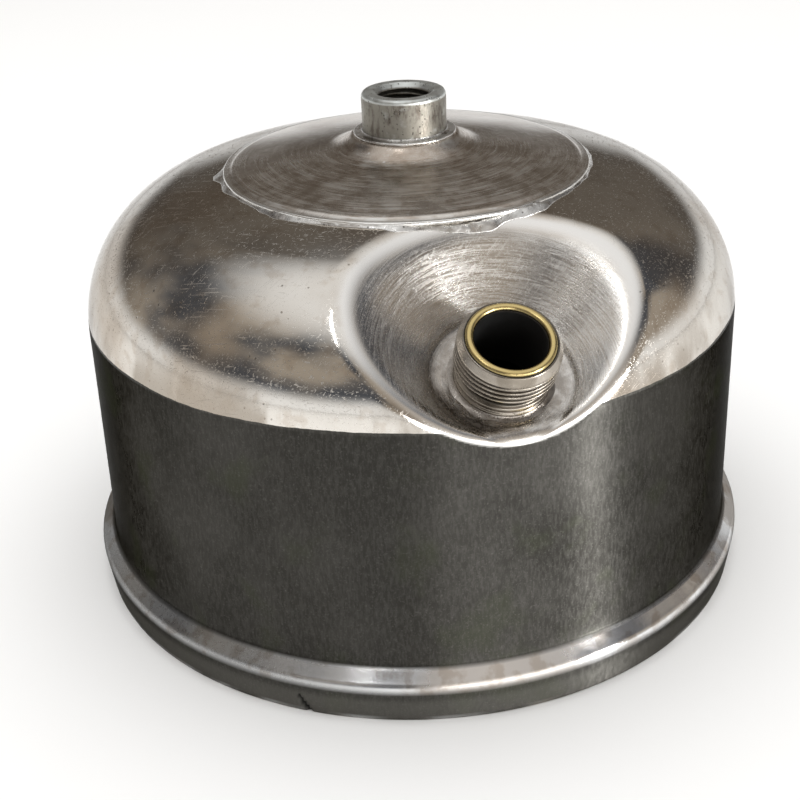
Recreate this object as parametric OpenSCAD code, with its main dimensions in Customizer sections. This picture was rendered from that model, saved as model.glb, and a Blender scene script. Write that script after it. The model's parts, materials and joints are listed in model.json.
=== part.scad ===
// Fuel tank of a pressure lantern: a drawn round can with a domed top, a crown plate
// and threaded collar in the middle, and a filler neck leaning out of a dished recess.
// Origin: middle of the ring that the foot skirt stands on. +Z up. The filler is
// on the -Y side, turned a little towards +X.

/* [Tank body] */
// Radius of the wall where it meets the shoulder
wall_top_r = 76; // [74:0.5:80]
// How much wider the wall is where it meets the foot
wall_flare = 0.8; // [0:0.1:1.5]
// Height at which the shoulder starts to curve in
shoulder_z = 63.9; // [58:0.5:70]
// Radius of the rounded shoulder
shoulder_round = 30.35; // [28:0.25:33]
// Radius of the shallow dome on top
dome_round = 216; // [200:2:240]
// Thickness of the drawn sheet
sheet = 0.8; // [0.6:0.1:1.2]

/* [Foot skirt] */
// Radius of the skirt at the edge it stands on
foot_r = 79.4; // [78:0.1:80]
// Radius of the skirt at its widest
foot_max_r = 80.4; // [80:0.1:81]
// Height of the corner where the wall steps out
ledge_z = 12.2; // [11.6:0.2:13]
// Height of the middle of the rolled corner between ledge and skirt
corner_z = 8.2; // [7.6:0.1:8.6]
// Radius of the rolled corner
foot_round = 2.4; // [1.8:0.1:2.8]

/* [Crown plate] */
// Radius of the plate
crown_r = 41.8; // [38:0.2:43]
// Thickness of the plate
crown_t = 1.0; // [0.8:0.1:1.4]
// Radius at which the plate starts to flare up to the collar
flare_r = 18; // [17:0.5:22]
// Height of the flat ring that the collar stands on
collar_seat_z = 103.3; // [102.8:0.1:104]
// Width of the solder seam round the plate
seam_w = 2.2; // [1.5:0.1:3]

/* [Centre collar] */
// Outer radius of the collar
collar_r = 9.6; // [9:0.1:10]
// Height of the collar's top face
collar_top_z = 112.8; // [110:0.2:114]
// Radius of the threaded hole, at the thread's crests
collar_bore_r = 5.7; // [5:0.1:6]
// Radius of the solder ring at the collar's foot
collar_ring_r = 11.7; // [11.2:0.1:12]

/* [Filler] */
// Direction of the filler, turned from the front towards +X
filler_turn = 16; // [0:1:30]
// Lean of the filler from upright
filler_lean = 27; // [24:1:30]
// Distance of the filler's seat from the tank's axis
filler_reach = 63.1; // [62:0.1:64]
// Height of the filler's seat
filler_seat_z = 70.5; // [70:0.1:71]
// Height of the neck above its seat
neck_h = 13; // [12:0.2:15]
// Outer radius of the neck at the thread's crests
neck_r = 10.4; // [10:0.1:10.8]
// Radius of the neck's worn rim
neck_rim_r = 9.05; // [8.6:0.05:9.4]
// Radius of the neck's hole
neck_bore_r = 7.25; // [7:0.05:7.6]
// Radius of the flat floor of the recess
recess_floor_r = 14.4; // [13.6:0.1:14.8]
// Slope of the recess's wall, from its own axis
recess_slope = 53.5; // [52:0.1:55]

/* [Base plate] */
// Height of the base plate's flat ring
base_z = 7; // [6.5:0.1:7.5]
// Rise of the base plate's middle
base_rise = 5; // [3:0.5:6]
// Radius of the raised middle
base_middle_r = 52; // [45:1:58]

/* [Hidden] */
$fn = 180;

// far past any cut that has to go right through
beyond = 60;
// the smallest overlap that makes a clean cut
bite = 0.01;

// heights and radii that the shell's curves give
knuckle_r = wall_top_r - shoulder_round;
dome_floor_z = shoulder_z
    - sqrt(pow(dome_round - shoulder_round, 2) - pow(knuckle_r, 2));
dome_top_z = dome_floor_z + dome_round;
wall_foot_r = wall_top_r + wall_flare;
shell_hole_r = collar_r + 0.4;

// pieces that the collar and the neck go through
ring_t = 1.2;
collar_tail_r = 8.6;
collar_backing_r = 15;
collar_backing_z = dome_top_z - sheet - 0.55;
neck_tail = 3.2;
neck_tail_r = 9;
neck_flange_r = 10.2;
filler_backing_r = 12.2;
thread_low = 5.7;
groove_r = 9.3;
groove_low = 3.0;
neck_bevel_h = 2.3;

// base plate
base_t = 0.9;
base_gap = 0.15;
base_flange_h = 5;

// Height of the dome's outer surface at radius r.
function dome_z(r) = dome_floor_z + sqrt(pow(dome_round, 2) - pow(r, 2));

// A disc of radius r about [x, y], fine enough that its mesh keeps to the true arc.
module round_at(x, y, r) {
    translate([x, y])
        circle(r = r, $fn = r > 100 ? 1440 : 240);
}

// Section of the tank's outside, drawn in by t all round for the inside.
module body_section(t) {
    difference() {
        union() {
            // dome: a shallow cap above the shoulder
            intersection() {
                round_at(0, dome_floor_z, dome_round - t);
                polygon([
                    [0, dome_floor_z],
                    [knuckle_r * 2.6, dome_floor_z + 2.6 * (shoulder_z - dome_floor_z)],
                    [0, dome_top_z + beyond]
                ]);
            }
            // rounded shoulder
            round_at(knuckle_r, shoulder_z, shoulder_round - t);
            // wall, foot to shoulder
            polygon([
                [0, -beyond],
                [wall_foot_r - t, -beyond],
                [wall_foot_r - t, ledge_z],
                [wall_top_r - t, shoulder_z],
                [knuckle_r, shoulder_z],
                [0, shoulder_z + 20]
            ]);
        }
        translate([-2 * dome_round, -2 * dome_round])
            square([2 * dome_round, 4 * dome_round]);
    }
}

// Section of the stepped-out foot: sloping ledge, rolled corner and skirt. The straight
// sides end just inside the corner's disc, so that they cross its edge cleanly.
module foot_section(t) {
    corner_x = foot_max_r - foot_round;
    corner_r = foot_round - t;
    ledge_angle = 50;
    reach = 0.94 * corner_r;
    polygon([
        [0, -beyond],
        [foot_r - t, -beyond],
        [foot_r - t, 0],
        [foot_max_r - t - 0.03, corner_z],
        [corner_x + reach * cos(ledge_angle), corner_z + reach * sin(ledge_angle)],
        [wall_foot_r - t, ledge_z - t],
        [0, ledge_z - t]
    ]);
    round_at(corner_x, corner_z, corner_r);
}

// Solid of the tank's outside, or of its inside when drawn in by t.
module body_solid(t) {
    rotate_extrude()
        difference() {
            union() {
                body_section(t);
                foot_section(t);
            }
            translate([0, -2 * beyond])
                square([2 * wall_top_r, 2 * beyond - (t > 0 ? bite : 0)]);
        }
}

// Puts its children on the filler's seat, leaning the way the filler does.
module on_filler() {
    rotate([0, 0, filler_turn])
        translate([0, -filler_reach, filler_seat_z])
            rotate([filler_lean, 0, 0])
                children();
}

// The dished recess as a solid, grown by t to give the sheet round it.
module recess_solid(t) {
    far_h = 32;
    slope = tan(recess_slope);
    // moving a sloping wall out by t moves it sideways by t over the slope's cosine
    side = t / cos(recess_slope);
    rotate_extrude()
        polygon([
            [0, -t],
            [recess_floor_r + side - t * slope, -t],
            [recess_floor_r + side + far_h * slope, far_h],
            [0, far_h]
        ]);
}

module tank_shell() {
    color([0.72, 0.7, 0.66])
        difference() {
            body_solid(0);
            on_filler()
                recess_solid(0);
            difference() {
                body_solid(sheet);
                on_filler()
                    recess_solid(sheet);
            }
            cylinder(r = shell_hole_r, h = 4 * beyond);
            on_filler()
                cylinder(r = neck_tail_r, h = 8, center = true);
        }
}

// The plate follows the dome, then flares up to the collar's seat.
module crown_plate() {
    flare_top_r = collar_ring_r + 0.4;
    edge_round = crown_t * 0.6;
    flare_drop = collar_seat_z - dome_z(flare_r) - crown_t;
    color([0.6, 0.57, 0.52])
        rotate_extrude()
            difference() {
                union() {
                    intersection() {
                        round_at(0, dome_floor_z, dome_round + crown_t);
                        translate([0, dome_z(crown_r) - 5])
                            square([crown_r, 40]);
                    }
                    // flare
                    polygon([
                        [0, dome_z(flare_r)],
                        [flare_r, dome_z(flare_r) + crown_t - 0.03],
                        [flare_r - 2.6, dome_z(flare_r) + crown_t + flare_drop * 0.32],
                        [flare_top_r, collar_seat_z],
                        [0, collar_seat_z]
                    ]);
                }
                round_at(0, dome_floor_z, dome_round);
                translate([-2 * dome_round, -2 * dome_round])
                    square([2 * dome_round, 4 * dome_round]);
                // hole for the collar
                translate([-1, 0])
                    square([1 + collar_r, 4 * beyond]);
                // worn-down top edge of the plate
                translate([crown_r - edge_round, dome_z(crown_r) + crown_t - edge_round])
                    difference() {
                        square(2 * edge_round);
                        circle(r = edge_round);
                    }
            }
}

// Solder seam: a low sloping bead against the plate's edge, broken at the recess.
module crown_solder() {
    seam_r = crown_r + seam_w;
    color([0.75, 0.75, 0.76])
        difference() {
            rotate_extrude()
                polygon([
                    [crown_r, dome_z(crown_r)],
                    [seam_r, dome_z(seam_r)],
                    [seam_r, dome_z(seam_r) + 0.12],
                    [crown_r + seam_w * 0.45, dome_z(crown_r) + crown_t * 0.45],
                    [crown_r, dome_z(crown_r) + crown_t * 0.55]
                ]);
            on_filler()
                recess_solid(0);
        }
}

module centre_collar() {
    chamfer = 1;
    sink_r = collar_bore_r + 1.2;
    sink_h = 1.1;
    tail_z = collar_backing_z - ring_t - 0.6;
    color([0.5, 0.5, 0.48])
        difference() {
            rotate_extrude()
                polygon([
                    [0, tail_z],
                    [collar_tail_r, tail_z],
                    [collar_tail_r, dome_top_z - sheet],
                    [collar_r, dome_top_z - sheet],
                    [collar_r, collar_top_z - chamfer],
                    [collar_r - chamfer, collar_top_z],
                    [0, collar_top_z]
                ]);
            cylinder(r = collar_bore_r, h = 4 * beyond);
            // countersunk mouth
            translate([0, 0, collar_top_z - sink_h])
                cylinder(r1 = collar_bore_r, r2 = sink_r + 0.1, h = sink_h + bite);
        }
}

// Bright ring of solder where the collar stands on the plate.
module collar_solder() {
    color([0.8, 0.8, 0.8])
        rotate_extrude()
            polygon([
                [collar_r, collar_seat_z],
                [collar_ring_r, collar_seat_z],
                [collar_ring_r - 0.1, collar_seat_z + 0.5],
                [collar_r + 0.7, collar_seat_z + 0.8],
                [collar_r, collar_seat_z + 1.4]
            ]);
}

module collar_backing_ring() {
    color([0.7, 0.58, 0.3])
        translate([0, 0, collar_backing_z - ring_t])
            difference() {
                cylinder(r = collar_backing_r, h = ring_t);
                translate([0, 0, -beyond])
                    cylinder(r = collar_tail_r, h = 2 * beyond);
            }
}

// Short neck: bevelled rim, band for the cap's thread, groove, flange and tail.
module filler_neck() {
    color([0.78, 0.64, 0.3])
        on_filler()
            difference() {
                rotate_extrude()
                    polygon([
                        [0, -neck_tail],
                        [neck_tail_r, -neck_tail],
                        [neck_tail_r, 0],
                        [neck_flange_r, 0],
                        [neck_flange_r, groove_low],
                        [groove_r, groove_low + 0.5],
                        [groove_r, thread_low - 0.6],
                        [neck_r, thread_low],
                        [neck_r, neck_h - neck_bevel_h],
                        [neck_rim_r, neck_h],
                        [0, neck_h]
                    ]);
                cylinder(r = neck_bore_r, h = 4 * beyond, center = true);
            }
}

module filler_solder() {
    color([0.78, 0.78, 0.78])
        on_filler()
            rotate_extrude()
                polygon([
                    [neck_flange_r, 0],
                    [neck_flange_r + 1.7, 0],
                    [neck_flange_r + 0.6, 0.4],
                    [neck_flange_r, 1.1]
                ]);
}

module filler_backing_ring() {
    color([0.7, 0.58, 0.3])
        on_filler()
            translate([0, 0, -sheet - ring_t])
                difference() {
                    cylinder(r = filler_backing_r, h = ring_t);
                    cylinder(r = neck_tail_r, h = beyond, center = true);
                }
}

// Pressed bottom: a flange down inside the skirt, a flat ring and a raised middle.
module base_plate() {
    flange_r = foot_r - sheet - base_gap;
    slope_w = 8;
    color([0.45, 0.44, 0.4])
        rotate_extrude()
            polygon([
                [flange_r, base_z - base_flange_h],
                [flange_r, base_z + base_t],
                [base_middle_r + slope_w, base_z + base_t],
                [base_middle_r, base_z + base_rise + base_t],
                [0, base_z + base_rise + base_t],
                [0, base_z + base_rise],
                [base_middle_r - 0.4, base_z + base_rise],
                [base_middle_r + slope_w - 0.4, base_z],
                [flange_r - base_t, base_z],
                [flange_r - base_t, base_z - base_flange_h]
            ]);
}

// Solder fillet in the corner between the base plate's flange and the skirt.
module base_solder() {
    flange_r = foot_r - sheet - base_gap;
    low_z = base_z - base_flange_h;
    color([0.6, 0.6, 0.6])
        rotate_extrude()
            polygon([
                [flange_r - base_t, low_z],
                [flange_r, low_z],
                [flange_r, low_z - 1.2],
                [flange_r - 0.5, low_z - 1]
            ]);
}

tank_shell();
crown_plate();
crown_solder();
centre_collar();
collar_solder();
collar_backing_ring();
filler_neck();
filler_solder();
filler_backing_ring();
base_plate();
base_solder();
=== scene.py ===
"""Looks of a pressure lantern fuel tank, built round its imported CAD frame.

Everything is in metres, in the frame's own axes: +Z up, the tank standing on z = 0, and the
filler on the -Y side.
"""

import json
import logging
import math
from dataclasses import dataclass, field
from enum import Enum
from typing import Callable, Sequence

import bmesh
import bpy
import numpy as np
from mathutils import Matrix, Vector, noise


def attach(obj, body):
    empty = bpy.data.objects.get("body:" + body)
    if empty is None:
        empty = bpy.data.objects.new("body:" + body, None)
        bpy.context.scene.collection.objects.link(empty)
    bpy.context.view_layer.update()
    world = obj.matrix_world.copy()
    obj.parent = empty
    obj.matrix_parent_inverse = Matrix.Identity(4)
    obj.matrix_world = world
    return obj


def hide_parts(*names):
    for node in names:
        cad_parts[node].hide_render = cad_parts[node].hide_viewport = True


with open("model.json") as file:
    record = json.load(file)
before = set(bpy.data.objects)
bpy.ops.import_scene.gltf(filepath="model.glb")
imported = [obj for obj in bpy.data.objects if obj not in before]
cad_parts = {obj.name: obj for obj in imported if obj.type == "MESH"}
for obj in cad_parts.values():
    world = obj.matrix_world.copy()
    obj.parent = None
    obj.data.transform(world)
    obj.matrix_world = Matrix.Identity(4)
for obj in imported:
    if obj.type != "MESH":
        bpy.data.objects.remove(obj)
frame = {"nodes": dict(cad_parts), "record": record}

LOG = logging.getLogger("lantern_tank")
MM = 0.001
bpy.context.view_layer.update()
Colour = tuple[float, float, float]
Node = bpy.types.Node
Socket = bpy.types.NodeSocket
Value = Socket | float | Colour


class Slot(Enum):
    """Material slots of the record."""

    NICKEL = "nickel_plate"
    PLATE = "brushed_plate"
    SOLDER = "solder"
    COLLAR = "collar_steel"
    BRASS = "worn_brass"
    INNER = "inner_brass"
    BASE = "base_steel"


# ---------------------------------------------------------------- meshes


@dataclass
class Outline:
    """A lathe outline: radius and height of each point, in metres."""

    points: list[tuple[float, float]] = field(default_factory=list)

    def to(self, radius: float, height: float, steps: int = 1) -> "Outline":
        """Adds a straight stretch.

        Args:
            radius: Radius of its end.
            height: Height of its end.
            steps: Number of points along it.

        Returns:
            The outline itself.
        """
        if not self.points:
            self.points.append((radius, height))
            return self
        r0, z0 = self.points[-1]
        for i in range(1, steps + 1):
            share = i / steps
            self.points.append((r0 + (radius - r0) * share, z0 + (height - z0) * share))
        return self

    def arc(
        self, radius: float, height: float, size: float, start: float, end: float, steps: int
    ) -> "Outline":
        """Adds a round stretch.

        Args:
            radius: Radius of the arc's middle.
            height: Height of the arc's middle.
            size: Radius of the arc itself.
            start: First angle above the outward direction, in degrees.
            end: Last angle, in degrees.
            steps: Number of stretches.

        Returns:
            The outline itself.
        """
        for i in range(steps + 1):
            angle = math.radians(start + (end - start) * i / steps)
            self.points.append((radius + size * math.cos(angle), height + size * math.sin(angle)))
        return self

    def array(self) -> np.ndarray:
        """Gathers the points, without repeats.

        Returns:
            Radii and heights, one row a point.
        """
        kept = [self.points[0]]
        for point in self.points[1:]:
            if math.dist(point, kept[-1]) > 1e-6:
                kept.append(point)
        return np.array(kept)


def even_angles(count: int) -> np.ndarray:
    """Returns count angles spread evenly round the circle."""
    return np.linspace(0.0, 2 * math.pi, count, endpoint=False)


def turned(outline: np.ndarray, angles: np.ndarray) -> np.ndarray:
    """Turns an outline about Z.

    Args:
        outline: Radii and heights, one row a point.
        angles: Angles round the axis.

    Returns:
        Points, one row for each outline point and one column for each angle.
    """
    radius, height = outline[:, :1], outline[:, 1:]
    heights = np.repeat(height, len(angles), axis=1)
    return np.stack([radius * np.cos(angles), radius * np.sin(angles), heights], axis=-1)


def axis_distance(points: np.ndarray) -> np.ndarray:
    """Returns how far each point is from the Z axis."""
    return np.linalg.norm(points[..., :2], axis=-1)


def swell(points: np.ndarray, growth: np.ndarray) -> None:
    """Moves points out from the Z axis, each by its own distance."""
    points[..., :2] *= (1 + growth / axis_distance(points))[..., None]


def grid_piece(
    name: str,
    points: np.ndarray,
    closed: bool = False,
    marks: dict[str, np.ndarray] | None = None,
    keep: np.ndarray | None = None,
) -> bpy.types.Object:
    """Makes a smooth mesh from a grid of points that wraps round in its second direction.

    Args:
        name: Name of the piece.
        points: Array of rows by columns by three.
        closed: Whether the last row joins the first.
        marks: Named weights, each an array of rows by columns.
        keep: Which points stay; a face goes when any of its corners goes.

    Returns:
        The new object, linked to the scene.
    """
    rows, columns = points.shape[:2]
    index = np.arange(rows * columns).reshape(rows, columns)
    nxt = np.roll(index, -1, axis=1)
    last = rows if closed else rows - 1
    up = np.roll(index, -1, axis=0)[:last]
    up_nxt = np.roll(nxt, -1, axis=0)[:last]
    faces = np.stack([index[:last], nxt[:last], up_nxt, up], axis=-1).reshape(-1, 4)
    if keep is not None:
        faces = faces[keep.reshape(-1)[faces].all(axis=1)]
    mesh = bpy.data.meshes.new(name)
    mesh.from_pydata(points.reshape(-1, 3).tolist(), [], faces.tolist())
    for mark, weights in (marks or {}).items():
        layer = mesh.attributes.new(mark, "FLOAT", "POINT")
        layer.data.foreach_set("value", weights.astype(np.float32).reshape(-1))
    tidy = bmesh.new()
    tidy.from_mesh(mesh)
    bmesh.ops.delete(tidy, geom=[v for v in tidy.verts if not v.link_faces], context="VERTS")
    bmesh.ops.remove_doubles(tidy, verts=tidy.verts, dist=1e-7)
    tidy.to_mesh(mesh)
    tidy.free()
    mesh.polygons.foreach_set("use_smooth", [True] * len(mesh.polygons))
    mesh.update()
    piece = bpy.data.objects.new(name, mesh)
    bpy.context.scene.collection.objects.link(piece)
    return piece


def soft_step(low: float, high: float, value: np.ndarray) -> np.ndarray:
    """Returns 0 below low, 1 above high and a smooth rise between them."""
    share = np.clip((value - low) / (high - low), 0.0, 1.0)
    return share * share * (3 - 2 * share)


def soft_min(a: np.ndarray, b: np.ndarray, blend: float) -> np.ndarray:
    """Returns the smaller of a and b, rounded over where they are within blend of each other."""
    near = np.maximum(blend - np.abs(a - b), 0.0) / blend
    return np.minimum(a, b) - near * near * blend * 0.25


def wander(points: np.ndarray, size: float, seed: float) -> np.ndarray:
    """Smooth random values in the range -1 to 1.

    Args:
        points: Array whose last direction holds x, y and z.
        size: Distance over which the values change, in metres.
        seed: Shift that makes one field differ from another.

    Returns:
        One value for each point.
    """
    flat = points.reshape(-1, 3) / size + seed
    values = np.array([noise.noise(Vector(row)) for row in flat])
    return values.reshape(points.shape[:-1])


def smooth_weld(piece: bpy.types.Object, angle: float) -> None:
    """Keeps sharp edges sharp under smooth shading.

    Args:
        piece: The piece.
        angle: Least angle of a sharp edge, in degrees.
    """
    sharp = math.radians(angle)
    mesh = bmesh.new()
    mesh.from_mesh(piece.data)
    for edge in mesh.edges:
        if len(edge.link_faces) == 2:
            edge.smooth = edge.calc_face_angle(0.0) < sharp
    mesh.to_mesh(piece.data)
    mesh.free()


# ---------------------------------------------------------------- shader effects


class Graph:
    """A short way to write node trees."""

    def __init__(self, tree: bpy.types.NodeTree) -> None:
        """Wraps a node tree."""
        self.tree = tree

    def give(self, value: Value, socket: Socket) -> None:
        """Sends a value to a socket.

        Args:
            value: A socket, which is linked, or a number or colour, which is written.
            socket: The input that takes it.
        """
        if isinstance(value, bpy.types.NodeSocket):
            self.tree.links.new(value, socket)
        elif socket.type == "RGBA":
            socket.default_value = (*value[:3], 1.0)
        else:
            socket.default_value = value

    def add(self, kind: str, inputs: dict[str | int, Value] | None = None, **settings: object) -> Node:
        """Adds a node.

        Args:
            kind: Its type, without the ShaderNode prefix.
            inputs: Its inputs by name or number.
            **settings: Its properties.

        Returns:
            The node.
        """
        node = self.tree.nodes.new("ShaderNode" + kind)
        for key, value in settings.items():
            setattr(node, key, value)
        for key, value in (inputs or {}).items():
            self.give(value, node.inputs[key])
        return node

    def math(self, operation: str, a: Value, b: Value) -> Socket:
        """Returns the result of a Math node."""
        return self.add("Math", {0: a, 1: b}, operation=operation).outputs[0]

    def times(self, a: Value, b: Value) -> Socket:
        """Returns a times b."""
        return self.math("MULTIPLY", a, b)

    def plus(self, a: Value, b: Value) -> Socket:
        """Returns a plus b."""
        return self.math("ADD", a, b)

    def most(self, a: Value, b: Value) -> Socket:
        """Returns the larger of a and b."""
        return self.math("MAXIMUM", a, b)

    def rest(self, a: Value) -> Socket:
        """Returns what a leaves of 1."""
        return self.math("SUBTRACT", 1.0, a)

    def vector(self, operation: str, a: Value, b: Value) -> Socket:
        """Returns the vector that a Vector Math node gives."""
        return self.add("VectorMath", {0: a, 1: b}, operation=operation).outputs[0]

    def ramp(
        self,
        value: Value,
        low: Value,
        high: Value,
        to_low: float = 0.0,
        to_high: float = 1.0,
        shape: str = "SMOOTHSTEP",
    ) -> Socket:
        """Carries a value from one range to another.

        Args:
            value: The value.
            low: Start of its range.
            high: End of its range.
            to_low: What the start becomes.
            to_high: What the end becomes.
            shape: The way between them, SMOOTHSTEP or LINEAR.

        Returns:
            The new value, held within its range.
        """
        ends = {"Value": value, "From Min": low, "From Max": high, "To Min": to_low, "To Max": to_high}
        return self.add("MapRange", ends, interpolation_type=shape).outputs["Result"]

    def blend(self, share: Value, a: Value, b: Value) -> Socket:
        """Returns a number between a and b."""
        return self.add("Mix", {0: share, 2: a, 3: b}).outputs[0]

    def mix(self, share: Value, a: Value, b: Value) -> Socket:
        """Returns a colour between a and b."""
        return self.add("Mix", {0: share, 6: a, 7: b}, data_type="RGBA").outputs[2]

    def tint(self, colour: Value, mask: Value, strength: Value, over: Value) -> Socket:
        """Returns a colour with another laid over it at a strength, where the mask is."""
        return self.mix(self.times(mask, strength), colour, over)

    def noise(self, vector: Socket, scale: float, detail: float = 4.0, rough: float = 0.55) -> Socket:
        """Returns the value of a Noise node."""
        values = {"Vector": vector, "Scale": scale, "Detail": detail, "Roughness": rough}
        return self.add("TexNoise", values).outputs[0]

    def effect(self, group: bpy.types.NodeTree, vector: Socket, output: int = 0, **inputs: float) -> Socket:
        """Places an effect group.

        Args:
            group: The group.
            vector: Coordinates that it works in.
            output: Number of the output that is wanted.
            **inputs: Its number inputs by name.

        Returns:
            The output.
        """
        node = self.add("Group", node_tree=group)
        self.give(vector, node.inputs["Vector"])
        for key, value in inputs.items():
            self.give(value, node.inputs[key.capitalize()])
        return node.outputs[output]


Group = tuple[Graph, bpy.types.NodeOutputs, bpy.types.NodeInputs]


def effect_group(name: str, floats: dict[str, float], outputs: Sequence[str]) -> Group:
    """Starts an effect group with a Vector input.

    Args:
        name: Name of the group.
        floats: Its number inputs and their defaults.
        outputs: Names of its number outputs.

    Returns:
        The graph, the sockets that it is given and the sockets that it fills.
    """
    tree = bpy.data.node_groups.new(name, "ShaderNodeTree")
    tree.interface.new_socket("Vector", in_out="INPUT", socket_type="NodeSocketVector")
    for key, value in floats.items():
        tree.interface.new_socket(key, in_out="INPUT", socket_type="NodeSocketFloat").default_value = value
    for key in outputs:
        tree.interface.new_socket(key, in_out="OUTPUT", socket_type="NodeSocketFloat")
    given = tree.nodes.new("NodeGroupInput").outputs
    filled = tree.nodes.new("NodeGroupOutput").inputs
    return Graph(tree), given, filled


class Effects:
    """The surface effects that several finishes share, each built once."""

    def __init__(self) -> None:
        """Builds the groups."""
        self.stains = self._stains()
        self.specks = self._specks()
        self.scratches = self._scratches()
        self.brushing = self._brushing()

    def _stains(self) -> bpy.types.NodeTree:
        """Soft-edged blotches.

        Returns:
            A group that puts out 1 inside a stain and 0 outside.
        """
        graph, given, filled = effect_group("stains", {"Scale": 60.0, "Low": 0.5, "High": 0.62}, ["Mask"])
        bent = graph.add("TexNoise", {"Vector": given["Vector"], "Scale": 40.0, "Detail": 2.0}).outputs[1]
        push = graph.vector("MULTIPLY", bent, (0.006, 0.006, 0.006))
        moved = graph.vector("ADD", given["Vector"], push)
        value = graph.noise(moved, given["Scale"], 6.0, 0.5)
        graph.give(graph.ramp(value, given["Low"], given["High"]), filled["Mask"])
        return graph.tree

    def _specks(self) -> bpy.types.NodeTree:
        """Small round specks and pits.

        Returns:
            A group that puts out 1 in a speck and 0 outside.
        """
        graph, given, filled = effect_group("specks", {"Scale": 900.0, "Size": 0.3, "Share": 0.2}, ["Mask"])
        cells = graph.add("TexVoronoi", {"Vector": given["Vector"], "Scale": given["Scale"]}).outputs
        chosen = graph.add("SeparateColor", {0: cells["Color"]}).outputs[0]
        pick = graph.math("LESS_THAN", chosen, given["Share"])
        spot = graph.ramp(cells["Distance"], graph.times(given["Size"], 0.4), given["Size"], 1.0, 0.0)
        graph.give(graph.times(pick, spot), filled["Mask"])
        return graph.tree

    def _scratches(self) -> bpy.types.NodeTree:
        """Fine straight scratches in three directions.

        Returns:
            A group that puts out 1 on a scratch and 0 beside it.
        """
        floats = {"Scale": 700.0, "Low": 0.62, "High": 0.68}
        graph, given, filled = effect_group("scratches", floats, ["Mask"])
        found = 0.0
        for turn, seed in (((0.1, 0.15, 0.5), 1.3), ((0.2, -0.3, 1.7), 7.7), ((0.0, 0.6, 2.6), 3.1)):
            moves = {"Vector": given["Vector"], "Location": (seed, seed, seed), "Rotation": turn}
            thin = graph.vector("MULTIPLY", graph.add("Mapping", moves).outputs[0], (0.05, 1.0, 1.0))
            line = graph.noise(thin, given["Scale"], 1.0, 0.5)
            found = graph.most(found, graph.ramp(line, given["Low"], given["High"], shape="LINEAR"))
        graph.give(found, filled["Mask"])
        return graph.tree

    def _brushing(self) -> bpy.types.NodeTree:
        """Circular brush marks about the vector's own Z axis.

        Returns:
            A group that puts out a value round 0.5, and the sharpest marks.
        """
        graph, given, filled = effect_group("brushing", {"Fine": 3500.0, "Long": 3.0}, ["Value", "Marks"])
        part = graph.add("SeparateXYZ", {0: given["Vector"]}).outputs
        flat = graph.add("CombineXYZ", {0: part[0], 1: part[1]}).outputs[0]
        radius = graph.add("VectorMath", {0: flat}, operation="LENGTH").outputs["Value"]
        way = graph.add("VectorMath", {0: flat}, operation="NORMALIZE").outputs[0]
        side = graph.add("SeparateXYZ", {0: way}).outputs
        depth = graph.plus(radius, graph.times(part[2], 0.8))
        stretched = {0: graph.times(depth, given["Fine"])}
        stretched |= {i + 1: graph.times(side[i], given["Long"]) for i in range(2)}
        value = graph.noise(graph.add("CombineXYZ", stretched).outputs[0], 1.0, 5.0, 0.7)
        graph.give(value, filled["Value"])
        graph.give(graph.ramp(value, 0.6, 0.72), filled["Marks"])
        return graph.tree


# ---------------------------------------------------------------- finishes


class Bench(Graph):
    """A material in the making: its nodes, its Principled shader and its object coordinates."""

    def __init__(self, name: str, metallic: float = 1.0) -> None:
        """Starts the material.

        Args:
            name: Name of the material.
            metallic: The shader's Metallic.
        """
        self.material = bpy.data.materials.new(name)
        self.material.use_nodes = True
        super().__init__(self.material.node_tree)
        self.shader = self.tree.nodes["Principled BSDF"]
        self.shader.inputs["Metallic"].default_value = metallic
        self.where = self.add("TexCoord").outputs["Object"]

    def mark(self, name: str) -> Socket:
        """Returns the value of a weight stored on the mesh."""
        return self.add("Attribute", attribute_name=name).outputs["Fac"]

    def feed(self, **sockets: Socket) -> None:
        """Links sockets to the shader's inputs, given by name."""
        for key, value in sockets.items():
            self.give(value, self.shader.inputs[key.replace("_", " ").title()])

    def bump(self, *layers: tuple[Socket, float]) -> None:
        """Feeds a chain of bumps to the shader.

        Args:
            *layers: Height and depth in metres of each bump.
        """
        before: dict[str, Value] = {}
        for height, depth in layers:
            bumped = self.add("Bump", {"Height": height, "Distance": depth, "Strength": 1.0, **before})
            before = {"Normal": bumped.outputs[0]}
        self.feed(normal=before["Normal"])


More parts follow.
